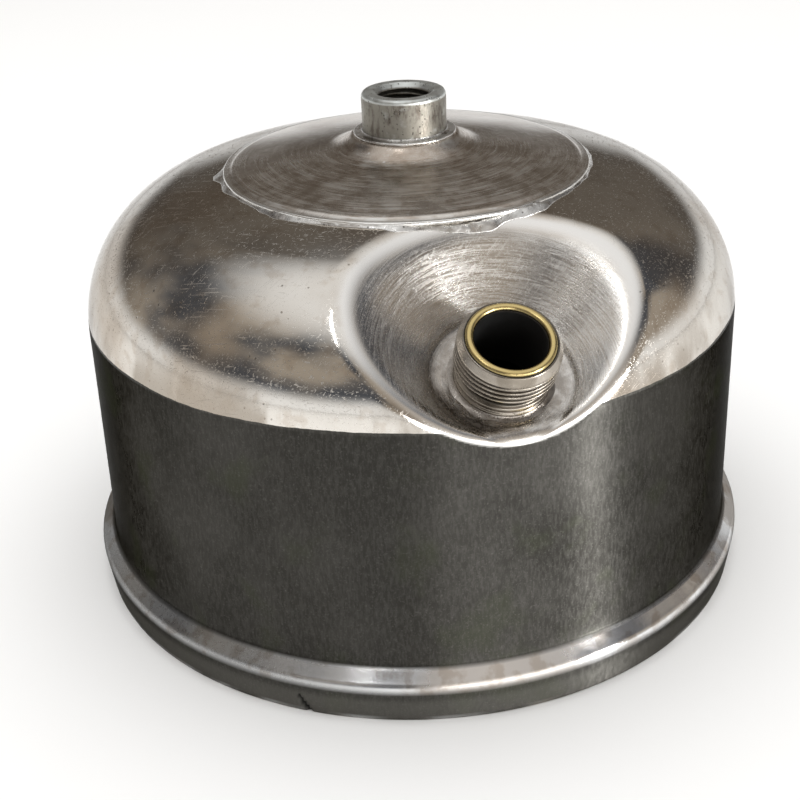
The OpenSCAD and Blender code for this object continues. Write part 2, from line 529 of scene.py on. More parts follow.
@dataclass(frozen=True)
class SatinNickel:
    """Nickel plating painted dark as a dark reflection on its streaked wall and skirt, with a painted
    highlight on the rolled ledge and wear along its bottom edge.
    """

    name: str = "satin_nickel"
    dark_reflection: Colour = (0.048, 0.046, 0.041)
    lighter_reflection: Colour = (0.108, 0.104, 0.095)
    fleck: Colour = (0.235, 0.228, 0.21)
    foot: Colour = (0.25, 0.243, 0.22)
    ledge: Colour = (0.93, 0.935, 0.94)
    ledge_stain: Colour = (0.36, 0.26, 0.17)
    green: Colour = (0.075, 0.085, 0.05)
    split: Colour = (0.01, 0.01, 0.01)
    edge_tint: Colour = (0.3, 0.3, 0.3)

    def layers(self, bench: Bench, effects: Effects) -> tuple[Socket, Socket, Socket, Socket]:
        """Adds the nodes of the plating's painted dark reflection.

        Args:
            bench: The material in the making.
            effects: The shared effect groups.

        Returns:
            Colour, roughness, and the heights of its grain and its specks.
        """
        where = bench.where
        upright = bench.add("Mapping", {"Vector": where, "Scale": (1.0, 1.0, 0.3)}).outputs[0]
        streaks = bench.noise(upright, 1500.0, 5.0, 0.7)
        cloud = bench.noise(where, 34.0, 4.0, 0.6)
        share = bench.plus(bench.ramp(streaks, 0.40, 0.66, 0.0, 0.6), bench.ramp(cloud, 0.4, 0.7, 0.0, 0.45))
        green = bench.effect(effects.stains, where, scale=75.0, low=0.52, high=0.7)
        grit = bench.noise(where, 2100.0, 3.0, 0.6)
        small = bench.effect(effects.specks, where, scale=900.0, size=0.26, share=0.10)
        large = bench.effect(effects.specks, where, scale=330.0, size=0.16, share=0.06)
        # The dark streaked colours are a painted dark reflection on the wall and skirt.
        colour = bench.mix(share, self.dark_reflection, self.lighter_reflection)
        colour = bench.tint(colour, green, 0.35, self.green)
        colour = bench.mix(bench.ramp(grit, 0.54, 0.74, 0.0, 0.3), colour, self.fleck)
        colour = bench.tint(colour, small, 0.12, self.fleck)
        colour = bench.tint(colour, large, 0.1, self.fleck)
        return colour, bench.ramp(streaks, 0.3, 0.7, 0.34, 0.46), streaks, bench.most(small, large)

    def build(self, effects: Effects) -> bpy.types.Material:
        """Builds the material.

        Args:
            effects: The shared effect groups.

        Returns:
            The material.
        """
        bench = Bench(self.name)
        bench.shader.inputs["Anisotropic"].default_value = 0.93
        bench.shader.inputs["Anisotropic Rotation"].default_value = 0.25
        # The grey edge tint dims grazing reflections: painted shade towards the wall's edges.
        bench.shader.inputs["Specular Tint"].default_value = (*self.edge_tint, 1.0)
        tangent = bench.add("Tangent", direction_type="RADIAL", axis="Z").outputs[0]
        ledge = bench.mark("ledge")
        colour, rough, grain, spots = self.layers(bench, effects)
        height = bench.add("SeparateXYZ", {0: bench.where}).outputs[2]
        step = bench.effect(effects.stains, bench.where, scale=37.0, low=0.52, high=0.64)
        fine = bench.effect(effects.stains, bench.where, scale=210.0, low=0.5, high=0.62)
        # The pale ledge colour is a painted highlight on the rolled ledge, and wear along the bottom edge;
        # stains lie over it.
        wear_and_light = bench.tint(self.ledge, step, 0.4, self.ledge_stain)
        wear_and_light = bench.tint(wear_and_light, fine, 0.35, self.ledge_stain)
        colour = bench.mix(bench.ramp(height, 0.0075, 0.0045, 0.0, 0.34), colour, self.foot)
        colour = bench.mix(ledge, colour, wear_and_light)
        # The split is painted near black: painted shade in the gap.
        colour = bench.tint(colour, bench.mark("dark"), 0.97, self.split)
        rough = bench.blend(ledge, rough, bench.ramp(step, 0.0, 1.0, 0.14, 0.28))
        bench.feed(base_color=colour, roughness=rough, tangent=tangent)
        bench.bump((grain, 0.000012), (bench.rest(spots), 0.000008))
        return bench.material


@dataclass(frozen=True)
class BrightNickel:
    """Bright nickel plate with brown stains and fine scratches, brushed in the recess."""

    seat: "FillerSeat"
    satin: SatinNickel
    name: str = "bright_nickel"
    bright: Colour = (0.82, 0.785, 0.73)
    stain: Colour = (0.50, 0.41, 0.32)
    run: Colour = (0.34, 0.29, 0.235)
    pit: Colour = (0.16, 0.13, 0.10)
    brushed: Colour = (0.66, 0.61, 0.55)
    polish_and_highlight: Colour = (0.93, 0.91, 0.88)
    smudge: Colour = (0.46, 0.40, 0.34)
    neck_foot_dark: Colour = (0.30, 0.265, 0.23)
    edge_tint: Colour = (0.7, 0.7, 0.7)

    def top(self, bench: Bench, effects: Effects) -> tuple[Socket, Socket, Socket]:
        """Adds the nodes of the dome and shoulder.

        Args:
            bench: The material in the making.
            effects: The shared effect groups.

        Returns:
            Colour, and the masks of its stains and its pits.
        """
        where = bench.where
        stains = bench.effect(effects.stains, where, scale=34.0, low=0.44, high=0.66)
        small = bench.effect(effects.stains, where, scale=260.0, low=0.52, high=0.68)
        pits = bench.effect(effects.specks, where, scale=760.0, size=0.24, share=0.09)
        long = bench.add("Mapping", {"Vector": where, "Scale": (1.0, 1.0, 0.4)}).outputs[0]
        drips_and_shade = bench.effect(effects.stains, long, scale=85.0, low=0.42, high=0.60)
        colour = bench.tint(self.bright, stains, 0.6, self.stain)
        colour = bench.tint(colour, small, 0.35, self.stain)
        colour = bench.tint(colour, pits, 0.6, self.pit)
        # On the low shoulder band the drip stains also dim the floor's bright reflection: partly stain,
        # partly painted shade.
        colour = bench.tint(colour, bench.mark("band"), bench.times(drips_and_shade, 0.75), self.run)
        return colour, stains, pits

    def build(self, effects: Effects) -> bpy.types.Material:
        """Builds the material: the top, the painted dark reflection of the wall below it, then the recess
        with a painted highlight on its lip and a darker floor round the neck's foot.

        Args:
            effects: The shared effect groups.

        Returns:
            The material.
        """
        bench = Bench(self.name)
        bench.shader.inputs["Specular Tint"].default_value = (*self.edge_tint, 1.0)
        where, bowl, lip = bench.where, bench.mark("bowl"), bench.mark("lip")
        top, stains, pits = self.top(bench, effects)
        low, low_rough, grain, spots = self.satin.layers(bench, effects)
        # Below a ragged line at the shoulder's foot the wall takes the plating's painted dark reflection.
        ragged = bench.times(bench.math("SUBTRACT", bench.noise(where, 160.0, 4.0), 0.5), 0.7)
        edge = bench.ramp(bench.plus(bench.mark("wall"), ragged), 0.42, 0.58)
        colour = bench.mix(edge, top, low)

        seat = {"Location": tuple(self.seat.origin), "Rotation": tuple(self.seat.matrix().to_euler())}
        local = bench.add("Mapping", {"Vector": where, **seat}, vector_type="TEXTURE").outputs[0]
        swirl = bench.effect(effects.brushing, local, fine=2600.0, long=3.6)
        arcs = bench.effect(effects.scratches, local, scale=2600.0, low=0.6, high=0.72)
        smudge = bench.effect(effects.stains, where, scale=80.0, low=0.5, high=0.68)
        darkening = bench.ramp(bench.noise(where, 330.0, 4.0, 0.6), 0.3, 0.6, 0.35, 0.85)
        # The lip round the recess takes a pale colour as a painted highlight; in the bowl it is polish under
        # the brushing.
        colour = bench.mix(bench.most(lip, bowl), colour, self.polish_and_highlight)
        colour = bench.tint(colour, bowl, bench.ramp(swirl, 0.3, 0.6, 0.9, 0.0), self.brushed)
        colour = bench.tint(colour, bowl, bench.times(smudge, 0.45), self.smudge)
        # The recess floor is darker round the neck's foot, in patches.
        colour = bench.tint(colour, bench.mark("neck_foot_dark"), darkening, self.neck_foot_dark)

        hair = bench.effect(effects.scratches, where, scale=2600.0, low=0.62, high=0.74)
        rough_top = bench.plus(bench.ramp(stains, 0.0, 1.0, 0.07, 0.13), bench.times(hair, 0.3))
        rough_bowl = bench.plus(bench.ramp(swirl, 0.3, 0.7, 0.16, 0.33), bench.times(arcs, 0.12))
        rough = bench.blend(edge, rough_top, low_rough)
        rough = bench.blend(bowl, bench.blend(lip, rough, 0.24), rough_bowl)
        bench.feed(base_color=colour, roughness=rough)
        bench.bump(
            (bench.times(grain, edge), 0.000012),
            (bench.times(swirl, bowl), 0.00004),
            (bench.rest(bench.most(pits, bench.times(spots, edge))), 0.00002),
            (bench.rest(bench.most(hair, bench.times(arcs, bowl))), 0.0000015),
        )
        return bench.material


@dataclass(frozen=True)
class BrushedPlate:
    """Bright plate, scuffed in circles towards the front, with wear and a painted highlight along its edge.
    """

    name: str = "brushed_plate"
    clean: Colour = (0.74, 0.70, 0.65)
    scuffed: Colour = (0.80, 0.75, 0.69)
    light: Colour = (0.95, 0.94, 0.91)
    brown: Colour = (0.40, 0.32, 0.25)

    def build(self, effects: Effects) -> bpy.types.Material:
        """Builds the material.

        Args:
            effects: The shared effect groups.

        Returns:
            The material.
        """
        bench = Bench(self.name)
        where, scuff = bench.where, bench.mark("scuff")
        brushed = bench.effect(effects.brushing, where, fine=2200.0, long=2.6)
        stains = bench.effect(effects.stains, where, scale=48.0, low=0.45, high=0.65)
        mottle = bench.effect(effects.stains, where, scale=330.0, low=0.44, high=0.62)
        specks = bench.effect(effects.specks, where, scale=620.0, size=0.28, share=0.08)
        arcs = bench.effect(effects.scratches, where, scale=2200.0, low=0.6, high=0.7)
        side_weight = bench.times(scuff, bench.ramp(bench.noise(where, 120.0, 4.0), 0.3, 0.6, 0.55, 1.0))
        colour = bench.mix(side_weight, self.clean, self.scuffed)
        colour = bench.tint(colour, stains, 0.5, self.brown)
        colour = bench.tint(colour, mottle, bench.times(scuff, 0.5), self.brown)
        colour = bench.tint(colour, bench.ramp(brushed, 0.28, 0.46, 0.7, 0.0), scuff, self.brown)
        colour = bench.tint(colour, bench.ramp(brushed, 0.52, 0.68), bench.times(scuff, 0.85), self.light)
        colour = bench.tint(colour, bench.mark("flare"), 0.25, self.brown)
        # The light line along the edge is wear and a painted highlight.
        colour = bench.mix(bench.mark("wear"), colour, self.light)
        colour = bench.tint(colour, specks, 0.6, self.light)
        rough = bench.blend(side_weight, 0.12, bench.ramp(brushed, 0.3, 0.7, 0.22, 0.40))
        bench.feed(base_color=colour, roughness=rough)
        bench.bump((bench.times(brushed, side_weight), 0.00008), (bench.rest(bench.most(arcs, specks)), 0.000006))
        return bench.material


@dataclass(frozen=True)
class SoftSolder:
    """Uneven soft solder, bright on its lumps and dark in its pits."""

    name: str = "bright_solder"
    silver: Colour = (0.78, 0.77, 0.75)
    grey: Colour = (0.36, 0.33, 0.30)
    pit: Colour = (0.1, 0.09, 0.08)

    def build(self, effects: Effects) -> bpy.types.Material:
        """Builds the material.

        Args:
            effects: The shared effect groups.

        Returns:
            The material.
        """
        bench = Bench(self.name)
        lumps = bench.noise(bench.where, 420.0, 5.0, 0.65)
        stains = bench.effect(effects.stains, bench.where, scale=150.0, low=0.5, high=0.66)
        pits = bench.effect(effects.specks, bench.where, scale=1100.0, size=0.3, share=0.1)
        colour = bench.tint(self.silver, stains, 0.8, self.grey)
        colour = bench.tint(colour, pits, 0.8, self.pit)
        bench.feed(base_color=colour, roughness=bench.ramp(lumps, 0.3, 0.7, 0.2, 0.42))
        bench.bump((lumps, 0.00022), (bench.rest(pits), 0.00006))
        return bench.material


@dataclass(frozen=True)
class PittedSteel:
    """Zinc-grey steel with pits and run stains, lighter on its turned faces, with painted shade in its
    threaded bore.
    """

    name: str = "pitted_steel"
    grey: Colour = (0.27, 0.255, 0.22)
    light: Colour = (0.52, 0.53, 0.50)
    face: Colour = (0.76, 0.79, 0.77)
    stain: Colour = (0.15, 0.13, 0.11)
    pit: Colour = (0.07, 0.06, 0.05)
    root: Colour = (0.05, 0.055, 0.05)

    def build(self, effects: Effects) -> bpy.types.Material:
        """Builds the material.

        Args:
            effects: The shared effect groups.

        Returns:
            The material.
        """
        bench = Bench(self.name)
        upright = bench.add("Mapping", {"Vector": bench.where, "Scale": (1.0, 1.0, 0.35)}).outputs[0]
        runs = bench.noise(upright, 800.0, 5.0, 0.7)
        cloud = bench.noise(bench.where, 300.0, 4.0)
        pits = bench.effect(effects.specks, bench.where, scale=1800.0, size=0.4, share=0.24)
        colour = bench.mix(bench.ramp(runs, 0.46, 0.66), self.grey, self.stain)
        colour = bench.mix(bench.ramp(cloud, 0.55, 0.72, 0.0, 0.6), colour, self.light)
        colour = bench.tint(colour, bench.mark("wear"), bench.ramp(cloud, 0.25, 0.6, 0.6, 1.0), self.face)
        colour = bench.tint(colour, pits, 0.8, self.pit)
        # Painted shade in the thread roots and down the bore.
        colour = bench.tint(colour, bench.mark("dark"), 0.85, self.root)
        bench.feed(base_color=colour, roughness=bench.ramp(cloud, 0.3, 0.7, 0.34, 0.52))
        bench.bump((runs, 0.00004), (cloud, 0.00006), (bench.rest(pits), 0.00006))
        return bench.material


@dataclass(frozen=True)
class WornBrass:
    """Grey plating with brass showing through on the crests and the rim; painted shade darkens the thread
    roots, the groove, the rim's underside and edges, and paints the bore near black inside.
    """

    name: str = "worn_brass"
    plating: Colour = (0.40, 0.36, 0.31)
    stain: Colour = (0.2, 0.17, 0.13)
    brass: Colour = (0.74, 0.58, 0.26)
    speck: Colour = (0.08, 0.06, 0.04)
    darkening: Colour = (0.03, 0.026, 0.02)
    bore_shade: Colour = (0.012, 0.011, 0.010)

    def build(self, effects: Effects) -> bpy.types.Material:
        """Builds the material.

        Args:
            effects: The shared effect groups.

        Returns:
            The material.
        """
        bench = Bench(self.name)
        bore_shade = bench.mark("bore_shade")
        cloud = bench.noise(bench.where, 260.0, 5.0, 0.6)
        stains = bench.effect(effects.stains, bench.where, scale=170.0, low=0.48, high=0.64)
        specks = bench.effect(effects.specks, bench.where, scale=1300.0, size=0.3, share=0.06)
        uneven = bench.times(bench.math("SUBTRACT", cloud, 0.5), 0.8)
        through = bench.ramp(bench.plus(bench.mark("wear"), uneven), 0.3, 0.62)
        colour = bench.tint(self.plating, stains, 0.6, self.stain)
        colour = bench.mix(through, colour, self.brass)
        colour = bench.tint(colour, specks, 0.7, self.speck)
        # The darkening colour is painted shade in the thread roots, the groove, under the rim and along the
        # rim's edges.
        colour = bench.mix(bench.mark("root"), colour, self.darkening)
        # Deep in the bore the colour is painted shade: near black, less metallic and rougher.
        colour = bench.mix(bore_shade, colour, self.bore_shade)
        metal = bench.rest(bench.times(bore_shade, 0.85))
        rough = bench.plus(bench.ramp(cloud, 0.3, 0.7, 0.2, 0.34), bench.times(bore_shade, 0.4))
        bench.feed(base_color=colour, metallic=metal, roughness=rough)
        bench.bump((cloud, 0.00003), (bench.rest(specks), 0.00002))
        return bench.material


@dataclass(frozen=True)
class PlainMetal:
    """Plain sheet or turned metal that is seldom seen: cloudy, stained and lightly brushed."""

    name: str
    base: Colour
    stain: Colour

    def build(self, effects: Effects) -> bpy.types.Material:
        """Builds the material.

        Args:
            effects: The shared effect groups.

        Returns:
            The material.
        """
        bench = Bench(self.name)
        stains = bench.effect(effects.stains, bench.where, scale=45.0, low=0.45, high=0.65)
        brushed = bench.effect(effects.brushing, bench.where, fine=900.0, long=4.0)
        marks = bench.effect(effects.brushing, bench.where, 1, fine=900.0, long=4.0)
        specks = bench.effect(effects.specks, bench.where, scale=420.0, size=0.3, share=0.1)
        colour = bench.tint(self.base, stains, 0.75, self.stain)
        colour = bench.tint(colour, marks, 0.3, self.base)
        colour = bench.tint(colour, specks, 0.6, self.stain)
        bench.feed(base_color=colour, roughness=bench.ramp(stains, 0.0, 1.0, 0.32, 0.5))
        bench.bump((brushed, 0.00003), (stains, 0.00003))
        return bench.material


# ---------------------------------------------------------------- the object's pieces


@dataclass(frozen=True)
class FillerSeat:
    """The middle of the filler's seat, and the directions across, back and out along its axis."""

    origin: Vector
    across: Vector
    back: Vector
    axis: Vector

    @classmethod
    def from_record(cls, record: dict, neck_height: float) -> "FillerSeat":
        """Finds the seat from the bore that the record states.

        Args:
            record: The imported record.
            neck_height: Height of the neck's rim above the seat.

        Returns:
            The seat.
        """
        bore = next(m for m in record["mounts"] if m["name"] == "filler_bore")
        axis = Vector(bore["axis"]).normalized()
        rim = Vector(bore["pos_m"]) + axis * (bore["dims"]["length_mm"] * MM / 2)
        across = Vector((-axis.y, axis.x, 0.0)).normalized()
        return cls(rim - axis * neck_height, across, axis.cross(across), axis)

    def matrix(self) -> Matrix:
        """Returns the matrix that carries the seat's own coordinates to the frame's."""
        turn = Matrix((self.across, self.back, self.axis)).transposed().to_4x4()
        return Matrix.Translation(self.origin) @ turn

    def place(self, points: np.ndarray) -> np.ndarray:
        """Carries points given over the seat into the frame."""
        turn = np.array([self.across, self.back, self.axis])
        return points @ turn + np.array(self.origin)


@dataclass
class TankShell:
    """The drawn can: foot skirt, wall, shoulder, dome and the dished recess."""

    seat: FillerSeat
    foot_r: float = 79.4 * MM
    skirt_r: float = 80.4 * MM
    corner_z: float = 8.2 * MM
    corner: float = 2.4 * MM
    ledge_z: float = 12.2 * MM
    wall_foot_r: float = 76.8 * MM
    wall_top_r: float = 76.0 * MM
    shoulder_z: float = 63.9 * MM
    shoulder: float = 30.35 * MM
    dome: float = 216.0 * MM
    sheet: float = 0.8 * MM
    floor_r: float = 14.4 * MM
    slope: float = math.radians(53.5)
    rim_blend: float = 4.6 * MM
    seat_step: float = 0.35 * MM
    recess_limit: float = 50.0 * MM
    neck_hole: float = 9.0 * MM
    collar_hole: float = 10.0 * MM
    split_at: float = math.radians(-108.6)
    split_height: float = 4.6 * MM

    @property
    def knuckle_r(self) -> float:
        """Radius at which the shoulder's arc has its middle."""
        return self.wall_top_r - self.shoulder

    @property
    def dome_z(self) -> float:
        """Height of the middle of the dome's sphere."""
        return self.shoulder_z - math.sqrt((self.dome - self.shoulder) ** 2 - self.knuckle_r**2)

    def dome_height(self, radius: float) -> float:
        """Returns the height of the dome at a radius."""
        return self.dome_z + math.sqrt(self.dome**2 - radius**2)

    def outline(self) -> np.ndarray:
        """Draws the can.

        Returns:
            Its outline from the foot's edge up to the collar's hole.
        """
        corner_r = self.skirt_r - self.corner
        meet = math.degrees(math.atan2(self.shoulder_z - self.dome_z, self.knuckle_r))
        line = Outline().to(self.foot_r - 0.25 * MM, 0.0).to(self.foot_r, 0.25 * MM)
        line.to(self.skirt_r, self.corner_z, 8)
        line.arc(corner_r, self.corner_z, self.corner, 4, 50, 10)
        line.to(self.wall_foot_r + 0.7 * MM, self.ledge_z - 0.1 * MM, 5)
        line.to(self.wall_foot_r + 0.2 * MM, self.ledge_z + 0.15 * MM)
        line.to(self.wall_foot_r, self.ledge_z + 0.7 * MM)
        line.to(self.wall_top_r + 0.05 * MM, self.shoulder_z - 4 * MM, 16)
        line.to(self.wall_top_r, self.shoulder_z, 8)
        line.arc(self.knuckle_r, self.shoulder_z, self.shoulder, 1, meet, 88)
        start = math.asin((self.knuckle_r + self.shoulder * math.cos(math.radians(meet))) / self.dome)
        inner = math.asin(38 * MM / self.dome)
        hole = math.asin(self.collar_hole / self.dome)
        for first, last, steps in ((start, inner, 34), (inner, hole, 9)):
            for i in range(1, steps + 1):
                tilt = first + (last - first) * i / steps
                line.to(self.dome * math.sin(tilt), self.dome_z + self.dome * math.cos(tilt))
        return line.array()

    def angles(self) -> np.ndarray:
        """Spreads the angles round the tank.

        Returns:
            The angles, close together where the recess is.
        """
        middle = math.atan2(self.seat.origin.y, self.seat.origin.x)
        half = math.radians(42)
        near = np.linspace(middle - half, middle + half, 204, endpoint=False)
        far = np.linspace(middle + half, middle - half + 2 * math.pi, 140, endpoint=False)
        return np.concatenate([near, far])

    def recess(self, points: np.ndarray) -> tuple[np.ndarray, np.ndarray, np.ndarray]:
        """Presses the recess into points of the plain can.

        Args:
            points: Points on the can, the last direction holding x, y and z.

        Returns:
            The pressed points, each point's distance from the filler's axis, and how far it was pressed.
        """
        local = points - np.array(self.seat.origin)
        height = local @ np.array(self.seat.axis)
        radius = np.sqrt(np.maximum((local**2).sum(-1) - height**2, 0.0))
        wall = (radius - self.floor_r) / math.tan(self.slope)
        bowl = -soft_min(-wall, np.zeros_like(wall), 1.6 * MM)
        bowl += self.seat_step * soft_step(14.6 * MM, 15.5 * MM, radius)
        outside = points @ np.array([self.seat.axis.x, self.seat.axis.y, 0.0]) < 0
        bowl = np.where(outside | (radius > self.recess_limit), height + self.recess_limit, bowl)
        pressed = soft_min(height, bowl, self.rim_blend)
        drop = height - pressed
        return points - drop[..., None] * np.array(self.seat.axis), radius, drop

    def surface(self, radius: float, angle: float) -> np.ndarray:
        """Returns the point of the finished shell's dome at a radius and an angle."""
        point = np.array([radius * math.cos(angle), radius * math.sin(angle), self.dome_height(radius)])
        return self.recess(point[None])[0][0]

    def marks(self, plain: np.ndarray, radius: np.ndarray, drop: np.ndarray) -> dict[str, np.ndarray]:
        """Weights that tell the finish where each surface lies.

        Args:
            plain: Points of the plain can.
            radius: Distance of each from the filler's axis.
            drop: How far each was pressed in.

        Returns:
            The named weights.
        """
        height = plain[..., 2]
        bend = wander(plain, 24 * MM, 3.1)
        close = 1 - soft_step(12.5 * MM, 17.0 * MM, radius + 1.2 * MM * bend)
        # Line below which the wall takes the painted dark reflection.
        edge = self.shoulder_z + (3.3 + 0.3 * bend) * MM
        wall = 1 - soft_step(-0.7 * MM, 0.7 * MM, height - edge)
        bowl = soft_step(0.9 * MM, 3.2 * MM, drop)
        # The rolled ledge carries a painted highlight: full from the front middle to the right, 0.7 at the
        # back and dimmest at the front left. The bottom edge carries real wear.
        rolled = soft_step(self.corner_z - 1.2 * MM, self.corner_z + 0.9 * MM, height)
        rolled *= 1 - soft_step(self.ledge_z - 0.35 * MM, self.ledge_z + 0.1 * MM, height)
        side_weight = 0.42 + 0.58 * soft_step(-45 * MM, -5 * MM, plain[..., 0] + 14 * MM * bend)
        rolled *= np.where(plain[..., 1] < 0, side_weight, 0.7)
        edge_wear = 1 - soft_step(0.2 * MM, 0.55 * MM, height)
        edge_wear *= soft_step(-0.2, 0.5, wander(plain, 9 * MM, 9.0))
        # Low shoulder band for drip stains and painted shade.
        band = 1 - soft_step(self.shoulder_z + 4 * MM, self.shoulder_z + 15 * MM, height)
        return {
            "wall": wall * (1 - bowl) * (1 - soft_step(0.2 * MM, 0.8 * MM, drop)),
            "bowl": bowl,
            "lip": soft_step(0.12 * MM, 0.7 * MM, drop) * (1 - bowl),
            # Recess floor round the neck's foot, which the finish darkens.
            "neck_foot_dark": close * (drop > 2 * MM),
            "ledge": np.maximum(rolled, 0.6 * edge_wear),
            "band": band * (1 - bowl),
            "dark": self.crack(plain),
            "low": (height < self.shoulder_z + 3.0 * MM) & (drop < 0.3 * MM),
        }

    def crack(self, plain: np.ndarray) -> np.ndarray:
        """Finds the short split in the skirt's lower edge.

        Args:
            plain: Points of the plain can.

        Returns:
            1 in the split, 0 beside it.
        """
        angle = np.arctan2(plain[..., 1], plain[..., 0]) - self.split_at
        lean = angle + plain[..., 2] * 6.0 - 0.012
        width = np.clip(1 - plain[..., 2] / (4.4 * MM), 0, 1) * 0.004 + 0.0042
        return (np.abs(lean) < width) * (plain[..., 2] < self.split_height) * 1.0

    def split_finish(self, piece: bpy.types.Object) -> None:
        """Gives the faces of the wall and the foot the second material.

        Args:
            piece: The shell.
        """
        mesh = piece.data
        low = np.zeros(len(mesh.vertices), dtype=np.float32)
        mesh.attributes["low"].data.foreach_get("value", low)
        for face in mesh.polygons:
            face.material_index = int(min(low[v] for v in face.vertices) > 0.5)

    def build(self) -> bpy.types.Object:
        """Builds the shell and gives its sheet its thickness.

        Returns:
            The shell.
        """
        plain = turned(self.outline(), self.angles())
        waves = 0.06 * wander(plain, 30 * MM, 1.7) + 0.014 * wander(plain, 11 * MM, 5.2)
        out = plain * np.array([1.0, 1.0, 0.0])
        out[..., 2] = np.maximum(plain[..., 2] - self.shoulder_z, 0.0)
        out /= np.linalg.norm(out, axis=-1, keepdims=True)
        calm = soft_step(6 * MM, 20 * MM, plain[..., 2])
        wavy = plain + out * (waves * MM * (0.25 + 0.75 * calm) - 0.06 * MM)[..., None]
        wavy = wavy - out * (self.crack(plain) * 0.5 * MM)[..., None]
        points, radius, drop = self.recess(wavy)
        hole = (radius < self.neck_hole + 0.2 * MM) & (drop > 1 * MM)
        piece = grid_piece("shell_drawn_can", points, marks=self.marks(plain, radius, drop), keep=~hole)
        self.split_finish(piece)
        thick = piece.modifiers.new("sheet", "SOLIDIFY")
        thick.thickness = self.sheet
        thick.offset = -1.0
        thick.use_even_offset = False
        return piece


@dataclass
class CrownPlate:
    """The round plate on the dome, flared up to the collar's seat."""

    shell: TankShell
    edge_r: float = 41.8 * MM
    thick: float = 1.0 * MM
    hole_r: float = 9.65 * MM
    seat_z: float = 103.3 * MM
    seat_r: float = 12.1 * MM
    flare_r: float = 18.0 * MM

    def outline(self) -> np.ndarray:
        """Draws the plate: underside outwards, edge, then top inwards.

        Returns:
            Its closed outline.
        """
        rise = self.shell.dome_height
        line = Outline()
        line.to(self.hole_r, rise(self.hole_r) + 0.03 * MM)
        for i in range(1, 15):
            radius = self.hole_r + (self.edge_r - 0.25 * MM - self.hole_r) * i / 14
            line.to(radius, rise(radius) + 0.03 * MM)
        base = rise(self.edge_r)
        line.to(self.edge_r, base + 0.25 * MM)
        line.arc(self.edge_r - 0.45 * MM, base + self.thick - 0.5 * MM, 0.45 * MM, 5, 80, 5)
        for i in range(1, 49):
            radius = self.edge_r - 1.0 * MM + (self.flare_r - self.edge_r + 1.0 * MM) * i / 48
            groove = 0.4 * MM * math.exp(-(((radius - 40.35 * MM) / (0.38 * MM)) ** 2))
            line.to(radius, rise(radius) + self.thick - groove)
        low = rise(self.flare_r) + self.thick
        for i in range(1, 15):
            share = i / 14
            radius = self.flare_r + (self.seat_r - self.flare_r) * share
            line.to(radius, low + (self.seat_z - low) * (0.25 * share + 0.75 * share**2.4))
        line.to(self.seat_r - 0.4 * MM, self.seat_z).to(self.hole_r, self.seat_z, 3)
        return line.array()

    def build(self) -> bpy.types.Object:
        """Builds the plate, a little uneven along its edge.

        Returns:
            The plate.
        """
        points = turned(self.outline(), even_angles(288))
        radius = axis_distance(points)
        near_edge = soft_step(34 * MM, 41 * MM, radius)
        lift = wander(points * np.array([1, 1, 0.0]), 13 * MM, 2.4) * 0.12 * near_edge * MM
        top = points[..., 2] > self.shell.dome_z + np.sqrt(self.shell.dome**2 - radius**2) + 0.2 * MM
        dents = wander(points, 16 * MM, 8.8) * 0.05 * MM * soft_step(13 * MM, 20 * MM, radius)
        points[..., 2] += np.where(top, lift + dents, 0.0)
        nick = wander(points * np.array([1, 1, 0.0]), 5 * MM, 6.6) * 0.12 - 0.05
        swell(points, nick * MM * soft_step(41 * MM, 41.7 * MM, radius))
        # Light line round the plate's edge: wear and a painted highlight, in patches.
        wear = soft_step(41.1 * MM, 41.5 * MM, radius) * (0.55 + 0.45 * (wander(points, 7 * MM, 4.4) > -0.1))
        flare = 1 - soft_step(14 * MM, 19 * MM, radius)
        lean = -points[..., 1] / np.maximum(radius, 1e-4)
        scuff = soft_step(-0.5, 0.45, lean + 0.25 * wander(points, 15 * MM, 1.1))
        marks = {"wear": wear, "flare": flare, "scuff": np.maximum(scuff, flare)}
        return grid_piece("crown_plate_pressed", points, closed=True, marks=marks)


